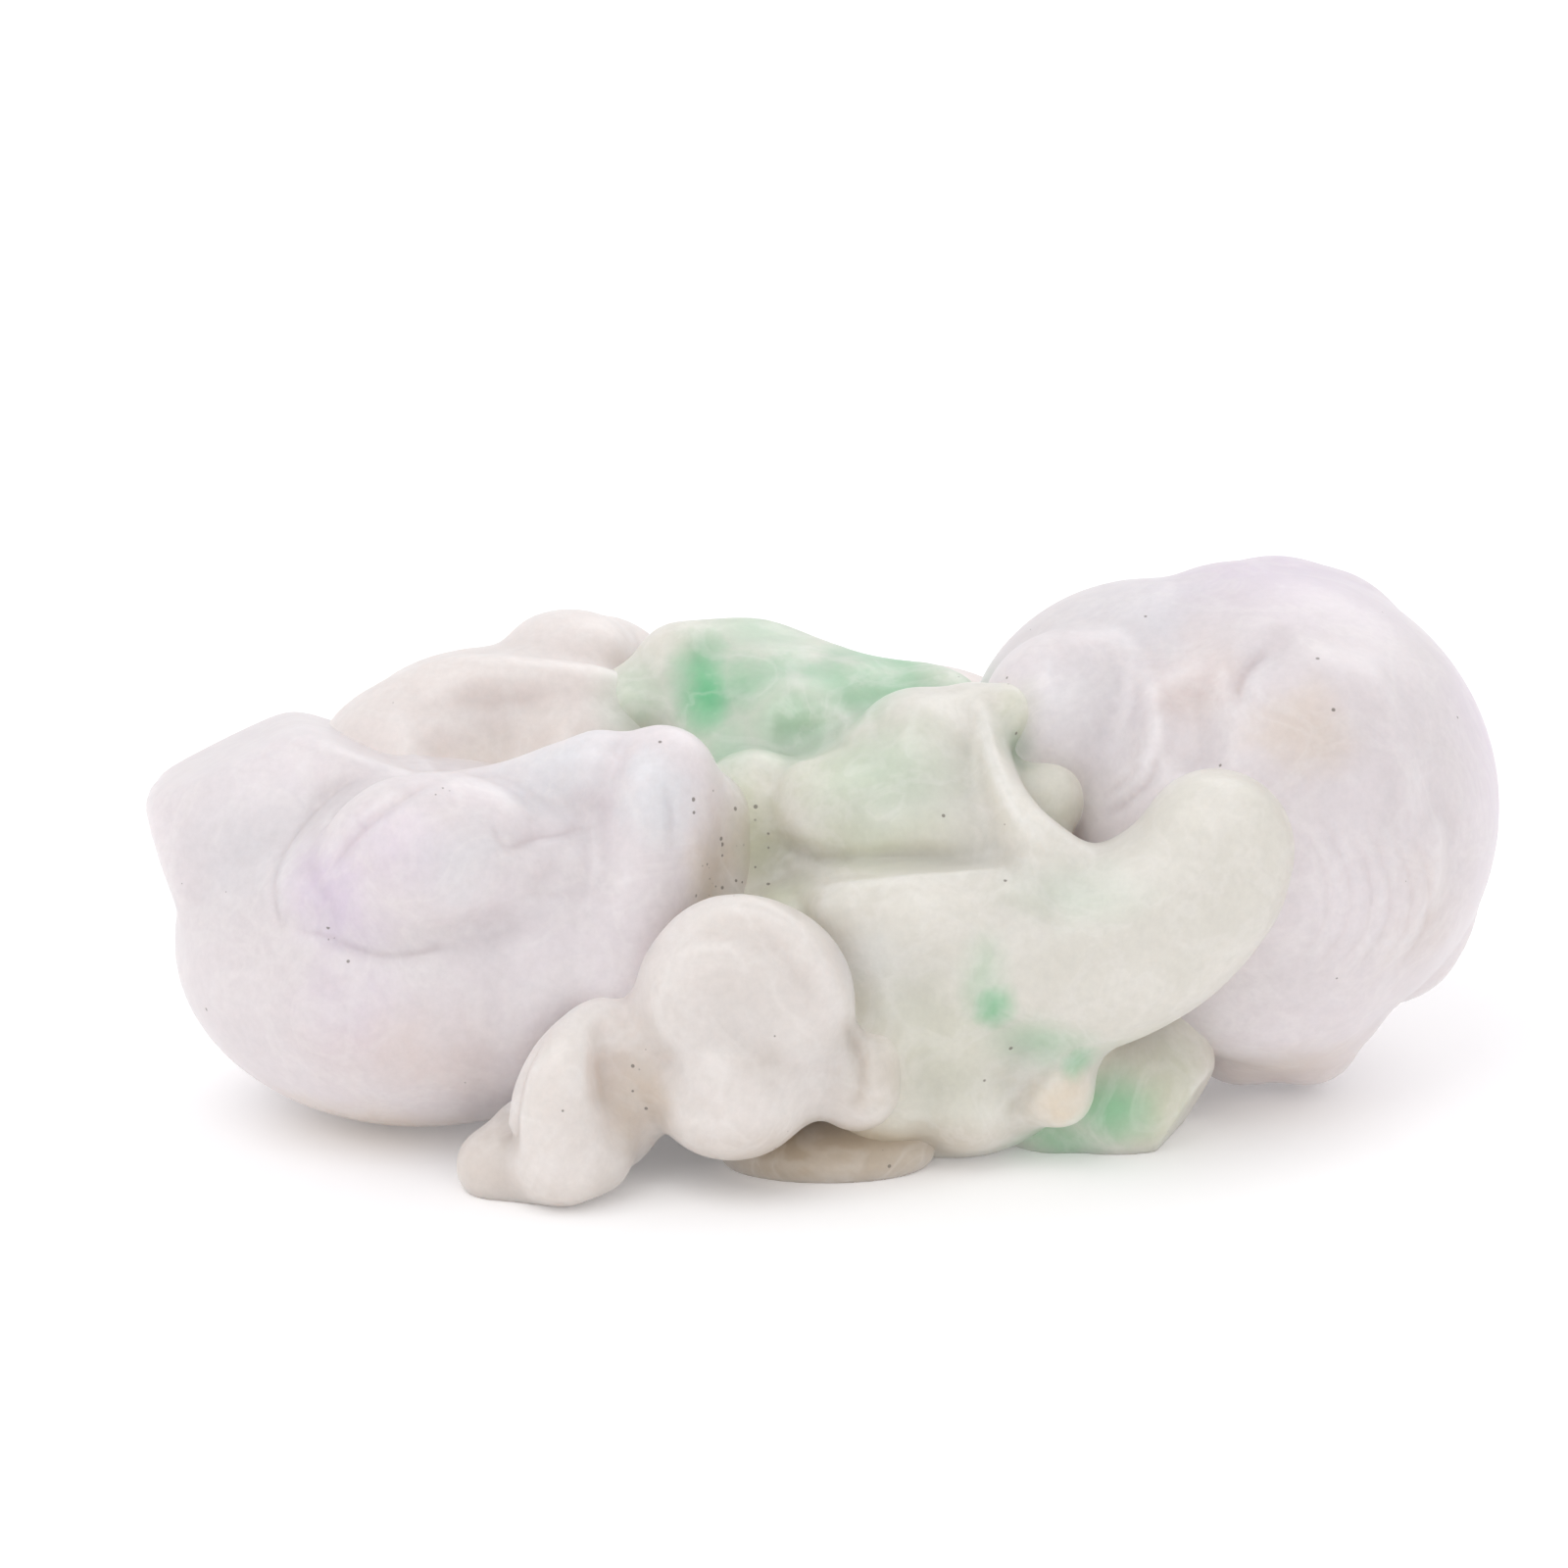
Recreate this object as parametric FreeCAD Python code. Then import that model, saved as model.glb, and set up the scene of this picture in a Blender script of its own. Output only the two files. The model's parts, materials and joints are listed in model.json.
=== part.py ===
import FreeCAD, Part

import math
import os

from FreeCAD import Matrix, Placement, Rotation, Vector

# A small jadeite carving of fruit, leaves and a lingzhi fungus, lying low on its
# own feet. It is carved from one pebble, so nothing on it moves. Each carved
# element is a node of its own, divided from its neighbours where the carver's
# cuts divide it. Millimetres, +X to the right of the show side, +Y to the back,
# +Z up. The origin is under the middle of the carving, on the surface it rests on.

# Driving dimensions
LENGTH = 52.0
DEPTH = 27.9
HEIGHT = 19.3
BASE_Z = 0.0

# How far the carving is moved so that the origin is under its middle
CENTRING = Vector(-0.27, -0.25, 0.0)

# The two large fruits that make the carving's two ends
LEFT_FRUIT_AT = Vector(-14.9, -0.8, 7.4)
LEFT_FRUIT_RADII = (10.4, 8.8, 7.45)
RIGHT_FRUIT_AT = Vector(16.9, 3.6, 10.4)
RIGHT_FRUIT_RADII = (9.1, 10.6, 8.9)

# The broad leaf at the front, and the middle of the fungus
BROAD_LEAF_AT = Vector(5.0, -5.0, 6.4)
FUNGUS_AT = Vector(-3.1, -9.2, 7.9)

# Loft quality of the drawn-out forms
STEPS_PER_SPAN = 3
CAP_ANGLES = (80.0, 58.0, 32.0)


def unit_ball():
    """A ball of radius 1 made as two half balls, so that no face closes on itself."""
    halves = []
    for turn in (0.0, 180.0):
        half = Part.makeSphere(1.0, Vector(), Vector(0, 0, 1), -90.0, 90.0, 180.0)
        half.rotate(Vector(), Vector(0, 0, 1), turn)
        halves.append(half)
    return halves[0].fuse(halves[1])


UNIT_BALL = unit_ball()


def lobe(centre, radii, turn=(0.0, 0.0, 0.0)):
    """A solid ellipsoid with its half sizes along X, Y and Z, then turned about X, Y and Z."""
    scale = Matrix()
    scale.scale(Vector(*radii))
    body = UNIT_BALL.transformGeometry(scale)
    about_x = Rotation(Vector(1, 0, 0), turn[0])
    about_y = Rotation(Vector(0, 1, 0), turn[1])
    about_z = Rotation(Vector(0, 0, 1), turn[2])
    body.Placement = Placement(centre, about_z.multiply(about_y).multiply(about_x))
    return body


def ring(centre, along, radius):
    """A circle across the line, as two half circles, so that no lofted face closes on itself."""
    circle = Part.Circle(centre, along, radius)
    arcs = [Part.Arc(circle, start, start + math.pi) for start in (0.0, math.pi)]
    return Part.Wire([arc.toShape() for arc in arcs])


def drawn_form(points, radii):
    """A round-sectioned form that follows a smooth line, with rounded ends."""
    line = Part.BSplineCurve()
    line.interpolate([Vector(*point) for point in points])
    knots = [line.parameter(Vector(*point)) for point in points]
    stations = []
    for span in range(len(points) - 1):
        for step in range(STEPS_PER_SPAN):
            part = step / STEPS_PER_SPAN
            place = knots[span] + part * (knots[span + 1] - knots[span])
            stations.append((place, radii[span] + part * (radii[span + 1] - radii[span])))
    stations.append((knots[-1], radii[-1]))
    sections = []
    for angle in CAP_ANGLES:
        start, along = line.value(knots[0]), line.tangent(knots[0])[0]
        back = -radii[0] * math.sin(math.radians(angle))
        sections.append(ring(start + along * back, along, radii[0] * math.cos(math.radians(angle))))
    for place, radius in stations:
        sections.append(ring(line.value(place), line.tangent(place)[0], radius))
    for angle in reversed(CAP_ANGLES):
        end, along = line.value(knots[-1]), line.tangent(knots[-1])[0]
        ahead = radii[-1] * math.sin(math.radians(angle))
        sections.append(ring(end + along * ahead, along, radii[-1] * math.cos(math.radians(angle))))
    return Part.makeLoft(sections, True, False)


def left_fruit():
    """The plump fruit at the left end, with a blunt shoulder drawn out to its tip."""
    belly = lobe(LEFT_FRUIT_AT, LEFT_FRUIT_RADII)
    shoulder = lobe(LEFT_FRUIT_AT + Vector(-3.5, 1.4, 3.0), (7.3, 6.2, 4.9), (0, 6, 0))
    return belly.fuse(shoulder)


def left_boss():
    """A soft oval swelling on the front of the left fruit."""
    return lobe(LEFT_FRUIT_AT + Vector(0.2, -5.8, 3.9), (3.6, 2.8, 3.0), (0, -8, 0))


def left_leaf_rim():
    """The rolled edge of a leaf lying over the left fruit, thin at the left, fat at the right."""
    points = [(-20.2, -6.0, 11.6), (-18.4, -6.0, 13.3), (-14.3, -4.4, 14.5), (-9.0, -3.4, 14.1)]
    return drawn_form(points, (0.7, 1.0, 1.2, 2.0))


def left_leaf_ridge():
    """The ridge where that leaf turns down to the foot of the fungus."""
    points = [(-4.8, -2.3, 13.6), (-5.2, -5.2, 12.8), (-6.6, -7.4, 9.6), (-8.6, -7.6, 6.0)]
    return drawn_form(points, (2.5, 2.7, 2.9, 2.6))


def fungus_disc():
    """The round cap of the fungus, leaning forward, as thick as half its width."""
    return lobe(FUNGUS_AT, (4.2, 3.2, 4.1))


def fungus_chin():
    """The full lower lip under the cap."""
    return lobe(FUNGUS_AT + Vector(0.2, -0.8, -3.5), (3.6, 2.8, 3.1))


def fungus_collar():
    """The small curl at the cap's right side."""
    return lobe(FUNGUS_AT + Vector(4.6, 0.4, -2.5), (2.0, 2.6, 2.6))


def front_pod():
    """A standing bean pod, the foot at the front left."""
    return lobe(Vector(-8.5, -11.3, 4.15), (2.6, 2.4, 4.25), (0, 10, 0))


def side_pod():
    """A small round pod lying beside the standing one."""
    return lobe(Vector(-11.2, -10.3, 1.8), (2.0, 2.0, 1.9))


def under_leaf():
    """The edge of a leaf lying flat under the fungus."""
    return lobe(Vector(0.6, -8.0, 1.1), (4.0, 3.0, 1.3))


def broad_leaf():
    """The leaf's steep front wall, which stands on a small foot."""
    return lobe(BROAD_LEAF_AT, (5.8, 4.6, 6.5))


def leaf_scroll():
    """The leaf's tip, which sweeps to the right and curls up like a comma."""
    points = [(5.5, -5.8, 7.6), (10.6, -6.8, 8.2), (14.2, -7.2, 10.0), (15.2, -6.8, 12.6)]
    return drawn_form(points, (4.4, 3.7, 3.3, 2.9))


def leaf_drop():
    """A bead-like drop under the scroll."""
    return lobe(BROAD_LEAF_AT + Vector(3.9, -2.8, -3.0), (1.6, 1.6, 2.0))


def green_foot():
    """The foot behind the drop."""
    return lobe(Vector(12.0, -3.4, 3.1), (3.9, 3.4, 3.2))


def middle_knuckle():
    """A rounded hump on the broad leaf's upper shelf."""
    return lobe(BROAD_LEAF_AT + Vector(-3.7, 0.4, 6.1), (2.8, 2.4, 2.4))


def saddle_leaf():
    """The dished leaf in the middle of the top."""
    return lobe(Vector(3.0, 0.5, 10.2), (5.5, 7.5, 4.8))


def green_crest():
    """The rolled back edge of the dished leaf."""
    points = [(-7.5, 5.0, 13.0), (-2.7, 8.0, 14.4), (3.3, 6.6, 13.2), (5.8, 3.4, 13.0)]
    return drawn_form(points, (1.8, 2.1, 1.9, 1.5))


def rear_leaf():
    """A round leaf behind the left fruit."""
    return lobe(Vector(-13.0, 6.6, 11.0), (5.7, 4.6, 5.2))


def rear_bud():
    """A bud beside the rear leaf."""
    return lobe(Vector(-8.8, 10.2, 11.9), (3.8, 3.2, 4.3))


def right_fruit():
    """The largest mass, at the right end."""
    return lobe(RIGHT_FRUIT_AT, RIGHT_FRUIT_RADII)


def right_crown():
    """The shoulder of the right fruit, on the side of the middle."""
    return lobe(RIGHT_FRUIT_AT + Vector(-4.9, 0.8, 3.1), (6.5, 6.4, 5.5), (0, -20, 0))


def right_cheek():
    """A dished petal on that shoulder's front."""
    return lobe(RIGHT_FRUIT_AT + Vector(-6.9, -1.4, 2.8), (3.6, 3.6, 4.0))


def right_swirl():
    """A round coiled boss on the right fruit's front."""
    return lobe(RIGHT_FRUIT_AT + Vector(2.3, -5.2, 3.9), (4.0, 3.6, 4.2))


def lower_lobe():
    """The lobe under the right fruit, in front of its foot."""
    return lobe(RIGHT_FRUIT_AT + Vector(-0.2, -3.4, -3.7), (6.0, 5.6, 5.6))


def right_foot():
    """The foot under the right fruit."""
    return lobe(Vector(16.6, 1.4, 1.9), (3.1, 2.8, 2.0))


def right_flap():
    """A thin raised leaf edge on the far right."""
    points = [(23.2, 3.0, 3.9), (24.8, 3.4, 6.2), (25.4, 3.4, 9.0)]
    return drawn_form(points, (0.9, 1.0, 0.8))


def upper_knob():
    """A small bead in the recess beside the dished leaf."""
    return lobe(Vector(7.4, 1.8, 14.2), (1.5, 1.3, 1.2))


def lower_knob():
    """A second bead below the first."""
    return lobe(Vector(8.7, -1.2, 11.9), (1.8, 1.6, 2.0))


def rear_stem():
    """The stem that runs along the back."""
    points = [(-15.5, 7.6, 6.2), (-7.0, 10.8, 6.2), (2.0, 11.4, 7.2), (9.0, 11.2, 9.5)]
    return drawn_form(points, (1.3, 1.6, 1.7, 1.4))


def back_leaf():
    """A full leaf at the middle of the back."""
    return lobe(Vector(4.0, 8.6, 9.0), (6.0, 3.8, 5.6), (0, 15, 0))


def rear_pod():
    """A pod at the back, the foot on that side."""
    return lobe(Vector(-3.0, 9.6, 3.0), (3.8, 3.4, 3.1))


def stone_core():
    """The stone left in the middle, which the carved elements stand out from."""
    return lobe(Vector(1.0, 1.0, 6.6), (12.0, 8.5, 7.4))


# The small raised details come first: a later element is cut back to an earlier one
ELEMENTS = (
    left_boss, left_leaf_rim, left_leaf_ridge, front_pod, side_pod,
    fungus_disc, fungus_chin, fungus_collar, leaf_drop, under_leaf,
    leaf_scroll, green_foot, middle_knuckle, upper_knob, lower_knob,
    right_cheek, right_swirl, right_flap, right_foot, rear_stem, rear_pod,
    green_crest, rear_bud, rear_leaf, broad_leaf, saddle_leaf, back_leaf,
    right_crown, lower_lobe, left_fruit, right_fruit, stone_core,
)


def cut_back(shape, earlier):
    """The shape without the elements before it and without what lies under the base."""
    box = shape.BoundBox
    tools = [other for other in earlier if other.BoundBox.intersect(box)]
    if box.ZMin < BASE_Z:
        corner = Vector(-LENGTH, -LENGTH, BASE_Z - LENGTH)
        tools.append(Part.makeBox(2 * LENGTH, 2 * LENGTH, LENGTH, corner))
    for tool in tools:
        shape = shape.cut(tool)
    return max(shape.Solids, key=lambda solid: solid.Volume)


def main():
    os.makedirs("parts", exist_ok=True)
    whole_forms = []
    finished = []
    for element in ELEMENTS:
        form = element()
        form.translate(CENTRING)
        solid = cut_back(form, whole_forms)
        whole_forms.append(form)
        finished.append(solid)
        solid.exportStep("parts/" + element.__name__ + ".step")
        print(element.__name__, round(solid.Volume, 1), solid.isValid())
    box = Part.makeCompound(finished).BoundBox
    print("box", box)
    print("length, depth, height aimed at", LENGTH, DEPTH, HEIGHT)
    print("volume in cubic millimetres", round(sum(solid.Volume for solid in finished), 1))


main()
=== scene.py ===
import json
import math

import bpy
import numpy as np
from mathutils import Matrix, Vector


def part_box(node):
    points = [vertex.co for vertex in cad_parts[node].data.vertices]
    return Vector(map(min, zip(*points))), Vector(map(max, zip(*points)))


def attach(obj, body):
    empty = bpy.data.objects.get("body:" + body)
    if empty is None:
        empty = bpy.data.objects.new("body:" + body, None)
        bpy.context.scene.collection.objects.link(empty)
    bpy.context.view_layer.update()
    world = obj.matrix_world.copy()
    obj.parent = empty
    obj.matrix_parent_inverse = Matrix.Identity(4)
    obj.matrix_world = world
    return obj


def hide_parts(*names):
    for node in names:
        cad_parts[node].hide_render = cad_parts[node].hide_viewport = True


# A polished jadeite carving of fruit, leaves and a lingzhi fungus. Elements whose surfaces run into
# each other are carved as one piece: stock is roughed out from balls and drawn forms, fused, ground
# on flats, incised and polished. The carver works at a thousand times the real size, so that one
# unit stands for a millimetre, and each finished piece is brought back to its real size.

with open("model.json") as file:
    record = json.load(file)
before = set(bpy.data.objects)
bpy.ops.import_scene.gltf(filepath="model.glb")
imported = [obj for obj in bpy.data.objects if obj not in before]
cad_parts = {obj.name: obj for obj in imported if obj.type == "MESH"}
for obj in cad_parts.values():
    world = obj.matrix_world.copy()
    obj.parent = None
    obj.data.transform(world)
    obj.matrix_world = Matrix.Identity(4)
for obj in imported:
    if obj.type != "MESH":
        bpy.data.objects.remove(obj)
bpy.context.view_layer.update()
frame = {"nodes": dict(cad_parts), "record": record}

MM = 0.001

# The show side: how far the eye looks down, how far off it is, where it looks, how much it sees across
VIEW_TILT = math.radians(18.0)
VIEW_DISTANCE = 300.0
VIEW_TARGET = Vector((-1.66, -0.25, 12.6))
VIEW_WIDTH = 59.26
FILM_WIDTH = 36.0

SIGHT = Vector((0.0, math.cos(VIEW_TILT), -math.sin(VIEW_TILT)))
VIEW_UP = Vector((0.0, math.sin(VIEW_TILT), math.cos(VIEW_TILT)))
EYE = VIEW_TARGET - SIGHT * VIEW_DISTANCE

# The facets of a fused skin, in millimetres: first coarse, then fine
COARSE_GRAIN = 0.36
FINE_GRAIN = 0.18

# Places on each span of a drawn form, and of a cut's line
DRAWN_STEPS = 8
CUT_STEPS = 10

# The part of its length over which a cut fades in and out
END_PART = 0.25

# A cut is whole on skin that faces the eye by more than one part in this, and fades out beyond
FULLY_SHOWN = 4

# How much of the cloud colour the densest clouds in the stone take on
CLOUD_STRENGTH = 0.8


# ---------------------------------------------------------------- the frame's measures

class Block:
    """The box of one carved element, in millimetres, with places given as parts of it."""

    def __init__(self, node):
        low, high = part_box(node)
        self.low = low / MM
        self.span = (high - low) / MM

    def at(self, place):
        return self.low + Vector([part * side for part, side in zip(place, self.span)])

    def half(self, size):
        return Vector([part * side / 2 for part, side in zip(size, self.span)])


BLOCKS = {node: Block(node) for node in frame["nodes"]}


# ---------------------------------------------------------------- the carver's tools

def clear_selection():
    for other in bpy.context.selected_objects:
        other.select_set(False)


def take_up(piece):
    clear_selection()
    piece.select_set(True)
    bpy.context.view_layer.objects.active = piece


def curve_place(before, start, end, after, part):
    """A place on the smooth line from start to end, where part runs from 0 to 1."""
    return 0.5 * (2 * start + (end - before) * part
                  + (2 * before - 5 * start + 4 * end - after) * part ** 2
                  + (3 * start - before - 3 * end + after) * part ** 3)


def ball(node, at=(0.5, 0.5, 0.5), size=(1, 1, 1), turn=(0, 0, 0)):
    """A ball of stock, placed and sized by an element's block, turned in degrees."""
    clear_selection()
    angles = [math.radians(angle) for angle in turn]
    bpy.ops.mesh.primitive_ico_sphere_add(
        subdivisions=5, radius=1, location=BLOCKS[node].at(at), rotation=angles,
        scale=BLOCKS[node].half(size))
    bpy.ops.object.transform_apply(location=True, rotation=True, scale=True)
    return bpy.context.object


def drawn(node, stations):
    """Stock drawn along a smooth line. A station is a place in the block and a thickness,
    which is a part of the block's half height."""
    block = BLOCKS[node]
    places = [block.at(station[:3]) for station in stations]
    radii = [station[3] * block.span.z / 2 for station in stations]
    line, widths = [], []
    for span in range(len(places) - 1):
        before = places[max(span - 1, 0)]
        start, end = places[span], places[span + 1]
        after = places[min(span + 2, len(places) - 1)]
        for step in range(DRAWN_STEPS + (span == len(places) - 2)):
            part = step / DRAWN_STEPS
            line.append(curve_place(before, start, end, after, part))
            widths.append(radii[span] + part * (radii[span + 1] - radii[span]))
    curve = bpy.data.curves.new("drawn", "CURVE")
    curve.dimensions = "3D"
    curve.bevel_depth = 1.0
    curve.bevel_resolution = 6
    curve.use_fill_caps = True
    spline = curve.splines.new("POLY")
    spline.points.add(len(line) - 1)
    for point, place, width in zip(spline.points, line, widths):
        point.co = (*place, 1)
        point.radius = width
    tube = bpy.data.objects.new("drawn", curve)
    bpy.context.scene.collection.objects.link(tube)
    take_up(tube)
    bpy.ops.object.convert(target="MESH")
    tube = bpy.context.object
    for place, radius in ((line[0], radii[0]), (line[-1], radii[-1])):
        clear_selection()
        bpy.ops.mesh.primitive_ico_sphere_add(subdivisions=4, radius=radius, location=place)
        bpy.context.object.select_set(True)
        tube.select_set(True)
        bpy.context.view_layer.objects.active = tube
        bpy.ops.object.join()
    return tube


def apply_modifier(piece, kind, **settings):
    take_up(piece)
    modifier = piece.modifiers.new(kind.lower(), kind)
    for name, value in settings.items():
        setattr(modifier, name, value)
    bpy.ops.object.modifier_apply(modifier=modifier.name)


def polish(piece, rounds):
    apply_modifier(piece, "SMOOTH", factor=0.5, iterations=rounds)


def new_skin(piece, grain, rounds):
    """A fresh closed skin of even facets, rubbed smooth."""
    apply_modifier(piece, "REMESH", mode="VOXEL", voxel_size=grain)
    polish(piece, rounds)


def fuse(name, stock, grain=FINE_GRAIN, soften=12, blend=10):
    """Joins the stock into one closed skin of even facets. The coarse first skin is rubbed
    down until its valleys are round, and the fine one takes off the facets."""
    clear_selection()
    for part in stock:
        part.select_set(True)
    bpy.context.view_layer.objects.active = stock[0]
    bpy.ops.object.join()
    piece = stock[0]
    piece.name = name
    piece.data.name = name
    new_skin(piece, COARSE_GRAIN, blend)
    new_skin(piece, grain, soften)
    return piece


def read_skin(piece):
    count = len(piece.data.vertices)
    places = np.empty(count * 3, np.float32)
    normals = np.empty(count * 3, np.float32)
    piece.data.vertices.foreach_get("co", places)
    piece.data.vertex_normals.foreach_get("vector", normals)
    return places.reshape(-1, 3).astype(float), normals.reshape(-1, 3).astype(float)


def write_skin(piece, places):
    piece.data.vertices.foreach_set("co", places.astype(np.float32).ravel())
    piece.data.update()


def grind(piece, node, at, facing):
    """Grinds a flat: what stands out beyond it, along its facing, is brought back to it."""
    places, _ = read_skin(piece)
    normal = np.array(Vector(facing).normalized())
    height = (places - np.array(BLOCKS[node].at(at))) @ normal
    places -= np.maximum(height, 0)[:, None] * normal
    write_skin(piece, places)


def stand(piece):
    """Flattens what would lie below the surface that the carving stands on."""
    places, _ = read_skin(piece)
    places[:, 2] = np.maximum(places[:, 2], 0.0)
    write_skin(piece, places)


def seen(places):
    """Where points lie in the plane through the target that faces the eye, seen from the eye."""
    away = places - np.array(EYE)
    depth = away @ np.array(SIGHT)
    return np.stack([away[:, 0], away @ np.array(VIEW_UP)], 1) * (VIEW_DISTANCE / depth)[:, None]


FACES = {}


def face_of(node):
    """The rectangle that an element fills when seen from the show side."""
    if node not in FACES:
        mesh = frame["nodes"][node].data
        places = np.empty(len(mesh.vertices) * 3, np.float32)
        mesh.vertices.foreach_get("co", places)
        view = seen(places.reshape(-1, 3).astype(float) / MM)
        FACES[node] = view.min(0), np.ptp(view, axis=0)
    return FACES[node]


def smooth_line(points):
    points = np.array(points, float)
    padded = np.vstack([points[0], points, points[-1]])
    line = []
    for span in range(len(points) - 1):
        for step in range(CUT_STEPS + (span == len(points) - 2)):
            line.append(curve_place(*padded[span:span + 4], step / CUT_STEPS))
    return np.array(line)


def distance_to_line(points, line):
    """Distance from each point to a line, and how far along the line its nearest place is."""
    best = np.full(len(points), np.inf)
    along = np.zeros(len(points))
    for index in range(len(line) - 1):
        start, run = line[index], line[index + 1] - line[index]
        part = np.clip((points - start) @ run / (run @ run), 0, 1)
        distance = np.linalg.norm(points - start - part[:, None] * run, axis=1)
        closer = distance < best
        best[closer] = distance[closer]
        along[closer] = (index + part[closer]) / (len(line) - 1)
    return best, along


def ease(part):
    """A smooth climb from 0 to 1 in place of an even one."""
    return part * part * (3 - 2 * part)


def nearness(distance, width):
    """One on a line, falling evenly to nothing at width."""
    return np.clip(1 - distance / width, 0, 1)


def end_fade(along):
    """Nothing at both ends of a line, climbing evenly to one."""
    return np.clip(np.minimum(along, 1 - along) / END_PART, 0, 1)


def stroke(piece, node, points, width, depth, sharp=False):
    """Draws a line on the show side, in parts of the element's face from its lower left.
    The skin is cut in by depth, or raised where depth is negative, over width to each side."""
    corner, extent = face_of(node)
    line = smooth_line([corner + np.array(point) * extent for point in points])
    places, normals = read_skin(piece)
    distance, along = distance_to_line(seen(places), line)
    near = nearness(distance, width)
    shape = near ** 2 if sharp else ease(near)
    shown = np.clip(-(normals @ np.array(SIGHT)) * FULLY_SHOWN, 0, 1)
    places -= normals * (shape * ease(end_fade(along)) * shown * depth)[:, None]
    write_skin(piece, places)


def cord_cut(piece, node, points, width, depth):
    """The same cut along a line through places in the block, on whichever side it lies."""
    line = smooth_line([BLOCKS[node].at(point) for point in points])
    places, normals = read_skin(piece)
    distance, along = distance_to_line(places, line)
    places -= normals * (ease(nearness(distance, width)) * end_fade(along) * depth)[:, None]
    write_skin(piece, places)


# ---------------------------------------------------------------- jadeite

def linear(code):
    """An sRGB hex colour as the linear colour that the shader wants."""
    channels = [int(code[i:i + 2], 16) / 255 for i in (1, 3, 5)]
    return [c / 12.92 if c <= 0.04045 else ((c + 0.055) / 1.055) ** 2.4 for c in channels] + [1.0]


def add(tree, kind, settings=None, links=None):
    """Adds a shader node, sets its values and links its inputs."""
    node = tree.nodes.new(kind)
    for name, value in (settings or {}).items():
        if isinstance(name, str) and hasattr(node, name):
            setattr(node, name, value)
        else:
            node.inputs[name].default_value = value
    for name, source in (links or {}).items():
        tree.links.new(source, node.inputs[name])
    return node


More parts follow.
